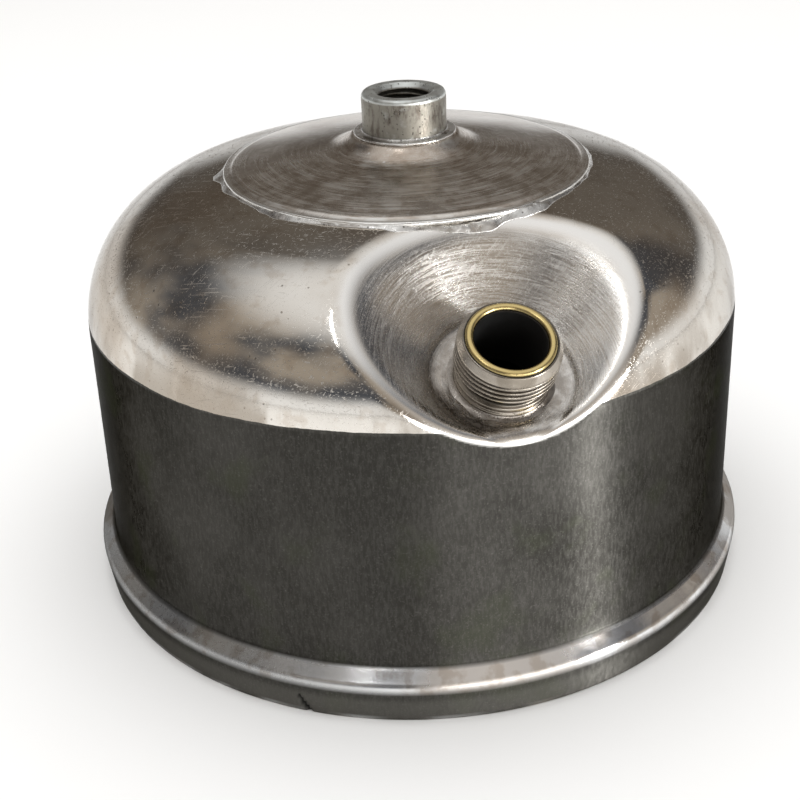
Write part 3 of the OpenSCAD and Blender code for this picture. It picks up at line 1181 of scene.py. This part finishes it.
@dataclass
class CrownSolder:
    """The uneven seam of solder round the crown plate.

    Each run has the angle of its middle and half its width, in degrees, and its size.
    """

    shell: TankShell
    plate: CrownPlate
    narrow: float = 0.16 * MM
    wide: float = 2.2 * MM
    runs: tuple[tuple[float, float, float], ...] = (
        (-174, 4, 1.8), (-70, 9, 1.5), (-52, 8, 1.5), (-93, 4, 1.1), (-128, 9, 0.8), (-160, 5, 0.8),
    )

    def spread(self, angle: float) -> float:
        """Finds how far the solder has run out from the plate.

        Args:
            angle: Angle round the plate.

        Returns:
            The distance.
        """
        spot = Vector((math.cos(angle), math.sin(angle), 0.0))
        slow = 0.5 + 0.5 * noise.noise(spot * 2.6 + Vector((4.0, 1.0, 2.0)))
        quick = 0.5 + 0.5 * noise.noise(spot * 11.0 + Vector((9.0, 3.0, 5.0)))
        run = max(0.0, slow * 1.1 - 0.5) + 0.5 * quick**2
        for middle, half, size in self.runs:
            away = math.degrees(math.remainder(angle - math.radians(middle), 2 * math.pi)) / half
            run += size * math.exp(-away * away) * (0.6 + 0.4 * quick)
        return self.narrow + (self.wide - self.narrow) * min(run, 1.6) / 1.6

    def build(self) -> bpy.types.Object:
        """Builds the seam on top of the finished shell.

        Returns:
            The seam.
        """
        angles = even_angles(540)
        section = 9
        rows = np.zeros((section + 2, len(angles), 3))
        inner = self.plate.edge_r - 0.35 * MM
        for j, angle in enumerate(angles):
            reach = self.spread(angle)
            crest = 0.35 * MM + 0.16 * reach
            for i in range(section):
                share = i / (section - 1)
                radius = inner + (reach + 0.35 * MM) * (1 - share)
                lump = 1 + 0.35 * noise.noise(Vector((math.cos(angle) * 26, math.sin(angle) * 26, share * 2)))
                point = self.shell.surface(radius, angle)
                point[2] += crest * math.sin(share * math.pi * 0.5) ** 1.3 * lump - 0.02 * MM
                rows[i, j] = point
            for i, radius in ((section, inner), (section + 1, inner + reach)):
                rows[i, j] = self.shell.surface(radius, angle) - np.array([0, 0, 0.12 * MM])
        return grid_piece("crown_solder_seam", rows, closed=True)


@dataclass
class Thread:
    """A screw thread cut into a round wall."""

    pitch: float
    depth: float
    crest: float

    def cut(self, height: np.ndarray, angle: np.ndarray) -> np.ndarray:
        """Finds the depth of the groove at each height and angle.

        Args:
            height: Heights along the thread's axis.
            angle: Angles round it.

        Returns:
            Depths below the crests.
        """
        phase = np.mod(height / self.pitch - angle / (2 * math.pi), 1.0)
        vee = 1 - np.abs(2 * phase - 1)
        return self.depth * np.clip((vee - self.crest) / (1 - self.crest), 0.0, 1.0) ** 0.8


@dataclass
class CentreCollar:
    """The threaded bush in the middle of the crown plate."""

    outer_r: float = 9.6 * MM
    tail_r: float = 8.6 * MM
    bore_r: float = 5.7 * MM
    top_z: float = 112.8 * MM
    tail_z: float = 96.8 * MM
    step_z: float = 99.1 * MM
    chamfer: float = 1.0 * MM
    sink: float = 1.1 * MM
    thread: Thread = field(default_factory=lambda: Thread(1.41 * MM, 0.75 * MM, crest=0.25))

    def build(self) -> bpy.types.Object:
        """Builds the bush with its thread cut into the bore.

        Returns:
            The bush.
        """
        line = Outline().to(self.bore_r, self.tail_z).to(self.tail_r, self.tail_z, 3)
        line.to(self.tail_r, self.step_z, 3).to(self.outer_r, self.step_z)
        line.to(self.outer_r, self.top_z - self.chamfer - 0.2 * MM, 14)
        line.arc(self.outer_r - self.chamfer, self.top_z - self.chamfer, self.chamfer * 0.98, 0, 90, 8)
        line.to(self.bore_r + self.sink + 0.25 * MM, self.top_z, 4)
        line.to(self.bore_r + self.sink, self.top_z - 0.06 * MM)
        line.to(self.bore_r, self.top_z - self.sink - 0.1 * MM, 6)
        bore_start = len(line.points) - 1
        line.to(self.bore_r, self.tail_z + 0.02 * MM, 128)
        outline = line.array()
        angles = even_angles(120)
        points = turned(outline, angles)
        row = np.arange(len(outline))[:, None] * np.ones(len(angles))
        height = points[..., 2]
        around = np.broadcast_to(angles, height.shape)
        inside = (row > bore_start) & (row < len(outline) - 1)
        fade = soft_step(self.tail_z, self.tail_z + 1 * MM, height)
        top = self.top_z - self.sink
        fade *= 1 - soft_step(top - 0.7 * MM, top - 0.1 * MM, height)
        cut = np.where(inside, self.thread.cut(height, around) * fade, 0.0)
        outer = axis_distance(points) > self.tail_r + 0.4 * MM
        swell(points, cut + (wander(points, 2.6 * MM, 2.2) - 1) * 0.05 * MM * outer)
        face = soft_step(self.top_z - 1.2 * MM, self.top_z - 0.8 * MM, height)
        # Painted shade: deepest in the thread roots, lighter all down the bore.
        dark = np.clip(cut / self.thread.depth, 0, 1) * 0.7 + inside * 0.3
        return grid_piece("centre_collar_bush", points, closed=True, marks={"wear": face, "dark": dark})


@dataclass
class FillerNeck:
    """The threaded filler neck with its rolled rim, groove and flange."""

    seat: FillerSeat
    height: float = 13.0 * MM
    bore_r: float = 7.25 * MM
    rim_r: float = 9.05 * MM
    thread_r: float = 10.4 * MM
    thread_low: float = 5.8 * MM
    groove_r: float = 8.9 * MM
    groove_low: float = 3.0 * MM
    flange_r: float = 9.7 * MM
    tail: float = 3.2 * MM
    tail_r: float = 8.4 * MM
    bevel: float = 2.3 * MM
    thread: Thread = field(default_factory=lambda: Thread(1.27 * MM, 0.6 * MM, crest=0.36))

    def outline(self) -> tuple[np.ndarray, int, int]:
        """Draws the neck.

        Returns:
            Its closed outline, and the rows at which the thread starts and ends.
        """
        rim_middle = (self.rim_r + self.bore_r) / 2
        rim_half = (self.rim_r - self.bore_r) / 2
        line = Outline().to(self.bore_r, -self.tail).to(self.tail_r, -self.tail, 2)
        line.to(self.tail_r, 0.0, 3).to(self.flange_r, 0.0, 2)
        line.to(self.flange_r, 1.1 * MM, 3).to(self.flange_r - 0.35 * MM, 1.35 * MM, 2)
        line.to(self.flange_r - 0.35 * MM, 1.75 * MM, 2).to(self.flange_r, 2.0 * MM, 2)
        line.to(self.flange_r, self.groove_low - 0.35 * MM, 3)
        line.to(self.groove_r, self.groove_low + 0.15 * MM, 3)
        line.to(self.groove_r, self.thread_low - 0.5 * MM, 6)
        line.to(self.thread_r - 0.3 * MM, self.thread_low - 0.1 * MM, 3)
        first = len(line.points)
        line.to(self.thread_r, self.thread_low + 0.1 * MM)
        line.to(self.thread_r, self.height - self.bevel, 64)
        last = len(line.points)
        line.to(self.rim_r + 0.32 * MM, self.height - 0.62 * MM, 7)
        line.to(self.rim_r - 0.12 * MM, self.height - 0.72 * MM, 2)
        line.arc(rim_middle, self.height - rim_half * 0.99, rim_half, 14, 180, 16)
        line.to(self.bore_r, self.height - 1.6 * MM, 2).to(self.bore_r, -self.tail + 0.02 * MM, 16)
        outline = line.array()
        over = outline[:, 1] > self.height - 0.02 * MM
        outline[over, 1] = self.height - 0.02 * MM
        return outline, first, last

    def build(self) -> bpy.types.Object:
        """Builds the neck over the seat and leans it into place.

        Returns:
            The neck.
        """
        outline, first, last = self.outline()
        angles = even_angles(180)
        points = turned(outline, angles)
        row = np.arange(len(outline))[:, None] * np.ones(len(angles))
        height = points[..., 2].copy()
        around = np.broadcast_to(angles, height.shape)
        banded = (row >= first) & (row < last)
        top = self.height - self.bevel
        fade = soft_step(self.thread_low, self.thread_low + 0.5 * MM, height)
        fade *= 1 - soft_step(top - 0.7 * MM, top - 0.1 * MM, height)
        cut = np.where(banded, self.thread.cut(height, around) * fade, 0.0)
        radius = axis_distance(points)
        swell(points, -cut)
        wear_and_light = wander(points, 4.5 * MM, 7.3)
        on_top = radius < self.rim_r + 0.03 * MM
        rim = soft_step(self.height - 0.78 * MM, self.height - 0.6 * MM, height) * on_top
        crest = np.where(banded, 1 - np.clip(cut / self.thread.depth * 3, 0, 1), 0.0)
        crest *= 0.24 + 0.3 * wear_and_light
        flange_edge = (height > 0.6 * MM) & (height < 3.2 * MM) & (radius > self.flange_r - 0.1 * MM)
        flange_edge = flange_edge * (0.25 + 0.3 * wear_and_light)
        depth = self.height - height
        under_rim = (depth > 0.55 * MM) & (depth < 0.85 * MM) & (radius < self.rim_r + 0.2 * MM)
        inside = (row > last) & (radius < self.bore_r + 0.05 * MM)
        # Painted shade deep inside the bore.
        bore_shade = soft_step(0.5 * MM, 1.3 * MM, depth) * inside
        # Painted shade in the thread roots and the groove, under the rim and along the rim's edges.
        root = np.clip(cut / self.thread.depth * 1.8, 0, 1) * 0.95
        below_thread = (row > 6) & (row < first)
        groove = (height > self.groove_low) & (height < self.thread_low - 0.3 * MM) & below_thread
        root = np.maximum(root, groove * 0.95)
        root = np.maximum(root, 0.3 * (height < self.groove_low) * below_thread)
        root = np.maximum(root, (under_rim & ~inside) * 0.95)
        off_middle = np.abs(radius - (self.rim_r + self.bore_r) / 2) / (self.rim_r - self.bore_r) * 2
        on_rim = (depth < 1.2 * MM) & on_top
        root = np.maximum(root, on_rim * 0.6 * soft_step(0.45, 0.95, off_middle + 0.15 * wear_and_light))
        return grid_piece(
            "filler_neck_threaded",
            self.seat.place(points),
            closed=True,
            marks={"wear": np.maximum.reduce([rim, crest, flange_edge]), "bore_shade": bore_shade, "root": root},
        )


@dataclass
class SolderRing:
    """A fillet of solder round a foot, a little uneven."""

    name: str
    inner_r: float
    outer_r: float
    low: float
    high: float
    place: Callable[[np.ndarray], np.ndarray] | None = None
    seed: float = 1.0
    uneven: float = 0.35

    def build(self) -> bpy.types.Object:
        """Builds the ring about Z, or over the seat that place gives.

        Returns:
            The ring.
        """
        count = 7
        line = Outline().to(self.inner_r, self.low).to(self.outer_r, self.low, 3)
        for i in range(1, count + 1):
            turn = math.pi / 2 * i / count
            reach = (self.outer_r - self.inner_r) * (1 - math.sin(turn)) ** 0.8
            line.to(self.inner_r + reach, self.low + (self.high - self.low) * (1 - math.cos(turn)) ** 0.9)
        points = turned(line.array(), even_angles(160))
        width = self.outer_r - self.inner_r
        share = np.clip((axis_distance(points) - self.inner_r) / width, 0, 1)
        lumps = wander(points * np.array([1, 1, 0.3]), 3.4 * MM, self.seed) * self.uneven
        swell(points, share * (lumps - 0.5 * self.uneven) * width)
        points[..., 2] -= (points[..., 2] - self.low) * np.maximum(lumps, 0) * 0.5
        if self.place:
            points = self.place(points)
        return grid_piece(self.name, points, closed=True)


@dataclass
class CollarRing:
    """The bright ring that the collar stands on, rounded at its edge."""

    inner_r: float = 9.62 * MM
    outer_r: float = 11.7 * MM
    low: float = 103.3 * MM
    thick: float = 0.62 * MM
    fillet: float = 0.35 * MM

    def build(self) -> bpy.types.Object:
        """Builds the ring with its fillet of solder against the collar.

        Returns:
            The ring.
        """
        line = Outline().to(self.inner_r, self.low).to(self.outer_r - 0.15 * MM, self.low, 3)
        line.arc(self.outer_r - self.thick / 2, self.low + self.thick / 2, self.thick / 2, -60, 88, 8)
        line.to(self.inner_r + self.fillet, self.low + self.thick, 2)
        for i in range(1, 7):
            turn = math.pi / 2 * i / 6
            line.to(
                self.inner_r + self.fillet * (1 - math.sin(turn)),
                self.low + self.thick + self.fillet * (1 - math.cos(turn)),
            )
        points = turned(line.array(), even_angles(160))
        share = soft_step(10.6 * MM, 11.5 * MM, axis_distance(points))
        uneven = wander(points * np.array([1, 1, 0.2]), 4.0 * MM, 3.9) - 0.6
        swell(points, uneven * 0.14 * MM * share)
        return grid_piece("collar_solder_ring", points, closed=True)


@dataclass
class BackingRing:
    """A plain turned ring that stiffens the sheet from inside."""

    name: str
    inner_r: float
    outer_r: float
    low: float
    thick: float
    place: Callable[[np.ndarray], np.ndarray] | None = None

    def build(self) -> bpy.types.Object:
        """Builds the ring with broken edges.

        Returns:
            The ring.
        """
        soft = 0.15 * MM
        line = Outline().to(self.inner_r, self.low).to(self.outer_r - soft, self.low, 3)
        line.to(self.outer_r, self.low + soft).to(self.outer_r, self.low + self.thick - soft, 2)
        line.to(self.outer_r - soft, self.low + self.thick).to(self.inner_r, self.low + self.thick, 3)
        points = turned(line.array(), even_angles(96))
        if self.place:
            points = self.place(points)
        piece = grid_piece(self.name, points, closed=True)
        smooth_weld(piece, 30)
        return piece


@dataclass
class BasePlate:
    """The pressed bottom: flange inside the skirt, flat ring and raised middle."""

    flange_r: float = 78.45 * MM
    low: float = 2.0 * MM
    ring_z: float = 7.0 * MM
    rise: float = 5.0 * MM
    middle_r: float = 52.0 * MM
    slope_w: float = 8.0 * MM
    sheet: float = 0.9 * MM
    bend: float = 1.6 * MM

    def face(self, shift: float, flange: float, bend: float) -> Outline:
        """Draws one face, from the flange's foot to the axis.

        Args:
            shift: How far the face lies above the underside.
            flange: Radius of the flange's wall.
            bend: Radius of the bend at the flange.

        Returns:
            Its outline.
        """
        line = Outline().to(flange, self.low).to(flange, self.ring_z + shift - bend, 3)
        line.arc(flange - bend, self.ring_z + shift - bend, bend, 0, 90, 6)
        foot = self.middle_r + self.slope_w
        line.to(foot + 2 * MM, self.ring_z + shift, 6)
        for i in range(1, 13):
            share = i / 12
            height = self.ring_z + shift + self.rise * (3 * share**2 - 2 * share**3)
            line.to(foot + 2 * MM - (self.slope_w + 2 * MM) * share, height)
        for i in range(1, 13):
            radius = self.middle_r * (1 - i / 12)
            ripple = 0.25 * MM * math.exp(-(((radius - 26 * MM) / (2 * MM)) ** 2))
            line.to(radius, self.ring_z + shift + self.rise - ripple)
        return line

    def build(self) -> bpy.types.Object:
        """Builds the plate from its upper and lower faces.

        Returns:
            The plate.
        """
        upper = self.face(self.sheet, self.flange_r, self.bend + self.sheet).array()
        lower = self.face(0.0, self.flange_r - self.sheet, self.bend).array()
        outline = np.concatenate([lower[::-1], upper])
        piece = grid_piece("base_plate_pressed", turned(outline, even_angles(200)))
        smooth_weld(piece, 50)
        return piece


# ---------------------------------------------------------------- studio


@dataclass(frozen=True)
class SoftBox:
    """A soft rectangular lamp aimed at a point."""

    name: str
    place: tuple[float, float, float]
    size: tuple[float, float]
    radiance: float
    aim: tuple[float, float, float] = (0.0, 0.0, 0.06)
    shines: bool = False
    mirrored: bool = True

    def build(self) -> bpy.types.Object:
        """Builds the lamp; its power gives the stated radiance.

        Returns:
            The lamp, linked to the scene.
        """
        lamp = bpy.data.lights.new(self.name, "AREA")
        lamp.shape = "RECTANGLE"
        lamp.size, lamp.size_y = self.size
        lamp.energy = self.radiance * math.pi * self.size[0] * self.size[1]
        thing = bpy.data.objects.new(self.name, lamp)
        thing.location = self.place
        thing.rotation_euler = (Vector(self.aim) - Vector(self.place)).to_track_quat("-Z", "Y").to_euler()
        thing.visible_camera = False
        thing.visible_diffuse = self.shines
        thing.visible_glossy = self.mirrored
        bpy.context.scene.collection.objects.link(thing)
        return thing


@dataclass(frozen=True)
class Studio:
    """Pale floor, soft lamps and surroundings, and the camera."""

    floor_r: float = 2.0
    floor_colour: Colour = (0.90, 0.90, 0.895)
    horizon: Colour = (0.92, 0.92, 0.92)
    dim: Colour = (0.075, 0.08, 0.092)
    warm: Colour = (0.36, 0.315, 0.265)
    shade: Colour = (0.055, 0.047, 0.04)
    zenith: Colour = (0.84, 0.835, 0.83)
    eye: tuple[float, float, float] = (0.0, -0.29626, 0.19102)
    pitch: float = math.radians(27.86)
    yaw: float = math.radians(-0.68)
    roll: float = math.radians(-2.31)
    lens: float = 60.1

    def lamps(self) -> list[SoftBox]:
        """The lamps: a wide one overhead, and cards and tubes seen only in reflections.

        Returns:
            The lamps, the widest first.
        """
        low = (0.0, 0.0, 0.04)
        return [
            SoftBox("overhead", (0.0, 0.0, 1.5), (2.6, 2.4), 1.75, shines=True, mirrored=False),
            SoftBox("front_card", (0.36, -0.74, 0.13), (0.62, 0.2), 4.5, aim=low),
            SoftBox("right_card", (0.67, -0.46, 0.13), (0.12, 0.22), 40.0, aim=low),
            SoftBox("tube_left", (-0.27, -0.42, 1.0), (0.012, 0.2), 14.0),
            SoftBox("tube_middle", (-0.215, -0.42, 1.0), (0.012, 0.5), 12.0),
            SoftBox("tube_right", (-0.185, -0.42, 1.0), (0.012, 0.5), 12.0),
        ]

    def sky(self) -> bpy.types.World:
        """Builds the soft surroundings: pale at the horizon, dim and cloudy above, lighter overhead.

        Returns:
            The world.
        """
        world = bpy.data.worlds.new("studio_world")
        world.use_nodes = True
        graph = Graph(world.node_tree)
        way = graph.add("TexCoord").outputs["Generated"]
        back, up = graph.add("SeparateXYZ", {0: way}).outputs[1:3]
        clouds = graph.noise(way, 1.7, 3.0, 0.5)
        tone = graph.mix(graph.ramp(clouds, 0.38, 0.6), self.dim, self.warm)
        tone = graph.mix(graph.ramp(back, 0.1, 0.8, 0.0, 0.75), tone, self.shade)
        tone = graph.mix(graph.ramp(up, 0.66, 0.95), tone, self.zenith)
        rise = graph.plus(up, graph.times(clouds, 0.12))
        tone = graph.mix(graph.ramp(rise, 0.07, 0.26), self.horizon, tone)
        graph.give(tone, world.node_tree.nodes["Background"].inputs["Color"])
        return world

    def build_floor(self) -> None:
        """Builds the round pale floor."""
        line = Outline().to(0.0, 0.0).to(0.3, 0.0, 3).to(self.floor_r, 0.0, 6)
        floor = grid_piece("studio_floor", turned(line.array(), even_angles(96)))
        floor.data.flip_normals()
        bench = Bench("pale_floor", metallic=0.0)
        deeper = tuple(channel * 0.985 for channel in self.floor_colour)
        bench.feed(base_color=bench.mix(bench.noise(bench.where, 3.0, 2.0), self.floor_colour, deeper))
        bench.shader.inputs["Roughness"].default_value = 0.8
        bench.shader.inputs["Specular IOR Level"].default_value = 0.1
        floor.data.materials.append(bench.material)

    def build_camera(self) -> None:
        """Builds the camera from its place, pitch, yaw and roll."""
        level = math.cos(self.pitch)
        forward = Vector((math.sin(self.yaw) * level, math.cos(self.yaw) * level, -math.sin(self.pitch)))
        right = forward.cross(Vector((0, 0, 1))).normalized()
        up = right.cross(forward)
        turned_right = right * math.cos(self.roll) + up * math.sin(self.roll)
        turned_up = up * math.cos(self.roll) - right * math.sin(self.roll)
        turn = Matrix((turned_right, turned_up, -forward)).transposed().to_4x4()
        data = bpy.data.cameras.new("camera")
        data.lens = self.lens
        data.sensor_width = 36.0
        data.clip_start = 0.01
        camera = bpy.data.objects.new("camera", data)
        camera.matrix_world = Matrix.Translation(self.eye) @ turn
        bpy.context.scene.collection.objects.link(camera)
        bpy.context.scene.camera = camera

    def build(self) -> None:
        """Builds the floor, the lamps, the world and the camera."""
        self.build_floor()
        for lamp in self.lamps():
            lamp.build()
        bpy.context.scene.world = self.sky()
        self.build_camera()


# ---------------------------------------------------------------- the whole


@dataclass
class LanternTank:
    """The tank: builds every piece, dresses it and puts it in place of its CAD node."""

    record: dict
    effects: Effects = field(default_factory=Effects)
    inner_ring: float = 1.2 * MM

    def finishes(self, seat: FillerSeat) -> dict[str, bpy.types.Material]:
        """Builds the materials.

        Args:
            seat: The filler's seat, for the marks that run round it.

        Returns:
            The materials by name.
        """
        satin = SatinNickel()
        wanted = [
            BrightNickel(seat, satin),
            satin,
            BrushedPlate(),
            SoftSolder(),
            # A darker copy of the solder, for the fillet round the filler neck.
            SoftSolder("dark_solder", (0.34, 0.31, 0.28), (0.16, 0.14, 0.12)),
            PittedSteel(),
            WornBrass(),
            PlainMetal("inner_brass", (0.66, 0.52, 0.27), (0.25, 0.17, 0.09)),
            PlainMetal("base_steel", (0.34, 0.33, 0.30), (0.23, 0.21, 0.18)),
        ]
        return {finish.name: finish.build(self.effects) for finish in wanted}

    def build(self) -> None:
        """Builds, dresses and places every piece."""
        seat = FillerSeat.from_record(self.record, FillerNeck.height)
        shell, neck, collar = TankShell(seat), FillerNeck(seat), CentreCollar()
        plate = CrownPlate(shell)
        thick = self.inner_ring
        top = shell.dome_height(0.0) - shell.sheet - 0.55 * MM
        low, high = -0.05 * MM, 0.7 * MM
        fillet = SolderRing("filler_solder_fillet", 9.65 * MM, 11.5 * MM, low, high, seat.place, 2.0)
        collar_ring = BackingRing("collar_ring_inside", collar.tail_r, 15 * MM, top - thick, thick)
        filler_ring = BackingRing("filler_ring_inside", neck.tail_r, 12.2 * MM, -2.0 * MM, thick, seat.place)
        finishes = self.finishes(seat)
        plan = [
            (shell, "tank_shell", Slot.NICKEL, ["bright_nickel", "satin_nickel"]),
            (plate, "crown_plate", Slot.PLATE, ["brushed_plate"]),
            (CrownSolder(shell, plate), "crown_solder", Slot.SOLDER, ["bright_solder"]),
            (collar, "centre_collar", Slot.COLLAR, ["pitted_steel"]),
            (CollarRing(), "collar_solder", Slot.SOLDER, ["bright_solder"]),
            (collar_ring, "collar_backing_ring", Slot.INNER, ["inner_brass"]),
            (neck, "filler_neck", Slot.BRASS, ["worn_brass"]),
            (fillet, "filler_solder", Slot.SOLDER, ["dark_solder"]),
            (filler_ring, "filler_backing_ring", Slot.INNER, ["inner_brass"]),
            (BasePlate(), "base_plate", Slot.BASE, ["base_steel"]),
        ]
        for part, node, slot, dress in plan:
            piece = part.build()
            for name in dress:
                piece.data.materials.append(finishes[name])
            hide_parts(node)
            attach(piece, "root")
            LOG.info("%s stands for %s: %d faces", piece.name, node, len(piece.data.polygons))
        seam = frame["nodes"]["base_solder"]
        seam.data.materials.clear()
        seam.data.materials.append(finishes["bright_solder"])


def main() -> None:
    """Builds the studio and the tank."""
    logging.basicConfig(level=logging.INFO, format="%(message)s")
    bpy.context.scene.view_settings.view_transform = "Standard"
    Studio().build()
    LanternTank(frame["record"]).build()


if __name__ == "__main__":
    main()
